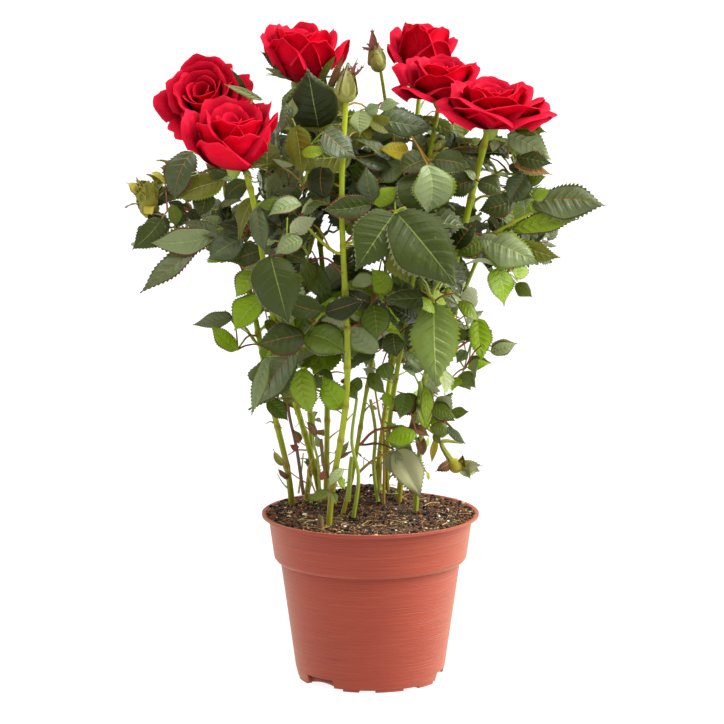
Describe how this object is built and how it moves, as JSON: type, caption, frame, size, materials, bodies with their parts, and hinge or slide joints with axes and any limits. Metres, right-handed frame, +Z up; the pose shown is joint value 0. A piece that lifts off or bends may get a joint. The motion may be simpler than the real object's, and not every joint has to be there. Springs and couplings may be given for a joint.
{
  "type": "potted rose bush",
  "caption": "Patio rose in a round plastic nursery pot: upright green canes, open foliage, double red roses and buds above.",
  "frame": {"origin": "centre of the pot's underside, on the plane its foot pads stand on", "axes": "+Z up, +X to the right and -Y to the front of the bush"},
  "size_m": [0.279, 0.2008, 0.3925],
  "materials": {
    "pot_plastic": "satin terracotta plastic with fine turned lines",
    "peat": "crumbly, rough",
    "green_cane": "smooth green bark, satin",
    "old_wood": "dry, rough bark",
    "leaves": "satin green",
    "withered": "dry, dull",
    "petals": "velvety red",
    "sepals": "soft green, red at the edges"
  },
  "bodies": {
    "root": {"bud_front": "sepals", "bud_slim": "sepals", "cane_back": "green_cane", "cane_back_left": "green_cane", "cane_back_right": "green_cane", "cane_crown": "green_cane", "cane_cup": "green_cane", "cane_front": "green_cane", "cane_left": "green_cane", "cane_middle": "green_cane", "cane_right": "green_cane", "cane_slim": "green_cane", "leaf_withered": "withered", "leaves_back_left_high": "leaves", "leaves_back_low_left": "leaves", "leaves_back_low_right": "leaves", "leaves_back_right_high": "leaves", "leaves_back_right_side": "leaves", "leaves_centre": "leaves", "leaves_centre_front": "leaves", "leaves_centre_left": "leaves", "leaves_centre_low": "leaves", "leaves_left_back": "leaves", "leaves_left_inner": "leaves", "leaves_left_tip": "leaves", "leaves_left_upper": "leaves", "leaves_low_centre": "leaves", "leaves_low_left": "leaves", "leaves_low_middle": "leaves", "leaves_low_right": "leaves", "leaves_lower_left": "leaves", "leaves_lower_left_tip": "leaves", "leaves_lower_right": "leaves", "leaves_lower_right_tip": "leaves", "leaves_right_inner": "leaves", "leaves_right_middle": "leaves", "leaves_right_shoulder": "leaves", "leaves_right_tip": "leaves", "leaves_right_upper": "leaves", "leaves_top_left": "leaves", "leaves_top_middle": "leaves", "leaves_top_right": "leaves", "pot": "pot_plastic", "rose_back": "petals", "rose_front_left": "petals", "rose_left": "petals", "rose_middle": "petals", "rose_right": "petals", "rose_top": "petals", "shoot_dried": "old_wood", "shoot_front_left": "green_cane", "shoot_left": "green_cane", "shoot_lower_left": "green_cane", "shoot_lower_right": "green_cane", "shoot_right": "green_cane", "shoot_withered": "old_wood", "soil": "peat", "sprig_dried": "withered", "stub_cut": "old_wood", "stub_front": "old_wood"}
  },
  "joints": []
}
